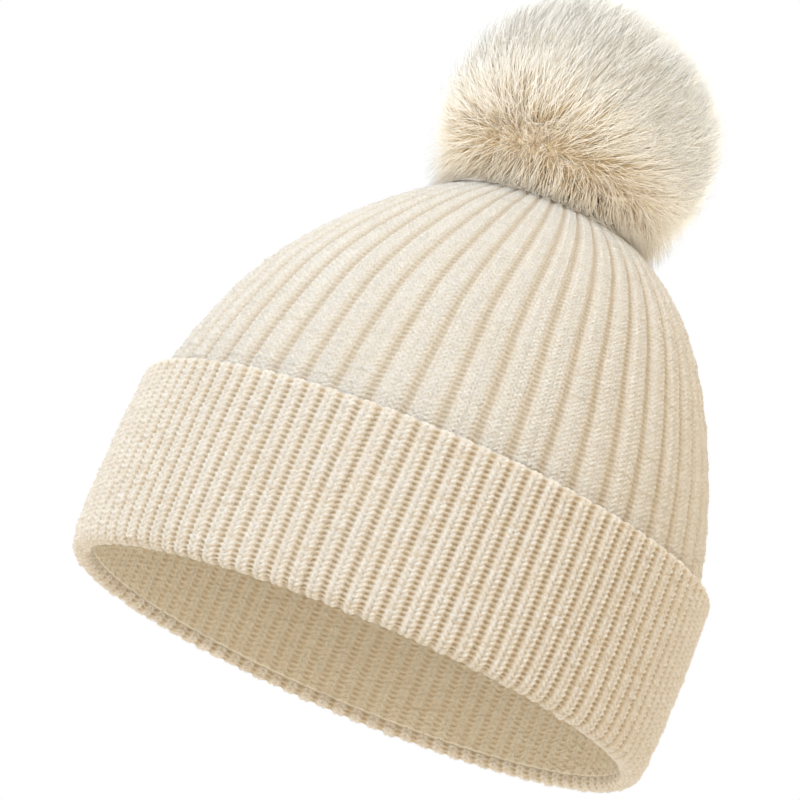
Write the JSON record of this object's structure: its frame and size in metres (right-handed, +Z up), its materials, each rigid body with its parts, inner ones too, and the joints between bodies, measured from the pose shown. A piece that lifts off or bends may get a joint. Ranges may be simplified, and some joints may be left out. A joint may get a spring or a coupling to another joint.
{
  "type": "pom pom beanie",
  "caption": "Cream rib-knit beanie with a deep turned-up cuff and a round faux fur pompom held on the crown by a press stud.",
  "frame": {"origin": "centre of the head opening, on the plane of the cuff's fold that the hat stands on", "axes": "+Z up the hat's axis through the pompom, -Y to the hat's front, +X to the wearer's left"},
  "size_m": [0.205, 0.205, 0.244],
  "materials": {
    "crown_knit": "soft wool-look rib knit, wide ribs",
    "band_knit": "soft wool-look rib knit, narrow ribs, inner side",
    "cuff_knit": "soft wool-look rib knit, narrow ribs",
    "thread": "twisted yarn",
    "felt": "pressed felt",
    "stud_metal": "nickel-plated press stud",
    "stuffing": "polyester fibre fill",
    "fur": "long soft faux fur"
  },
  "bodies": {
    "hat": {"crown_shell": "crown_knit", "brim_band": "band_knit", "crown_gather_thread": "thread", "crown_felt_patch": "felt", "stud_post": "stud_metal", "press_stud": "stud_metal"},
    "cuff": {"turn_up_cuff": "cuff_knit"},
    "stud_spring": {"socket_ring_spring": "stud_metal"},
    "pompom_base": {"pompom_base_disc": "felt", "press_socket": "stud_metal", "socket_cap": "stud_metal"},
    "pompom_ball": {"pompom_fur": "fur", "pompom_core": "stuffing", "pompom_drawstring": "thread"}
  },
  "joints": [
    {"name": "cuff_turn_down", "type": "slide", "parent": "hat", "child": "cuff", "axis": [0, 0, -1], "range_m": [0, 0.058]},
    {"name": "pompom_pull_off", "type": "slide", "parent": "hat", "child": "stud_spring", "axis": [0, 0, 1], "range_m": [0, 0.03]},
    {"name": "pompom_spin", "type": "hinge", "parent": "stud_spring", "child": "pompom_base", "pos_m": [0, 0, 0.1737], "axis": [0, 0, 1], "continuous": true},
    {"name": "pompom_lean", "type": "hinge", "parent": "pompom_base", "child": "pompom_ball", "pos_m": [0, 0, 0.176], "axis": [1, 0, 0], "range_deg": [-10, 10], "stiffness_Nm_per_rad": 0.12}
  ]
}
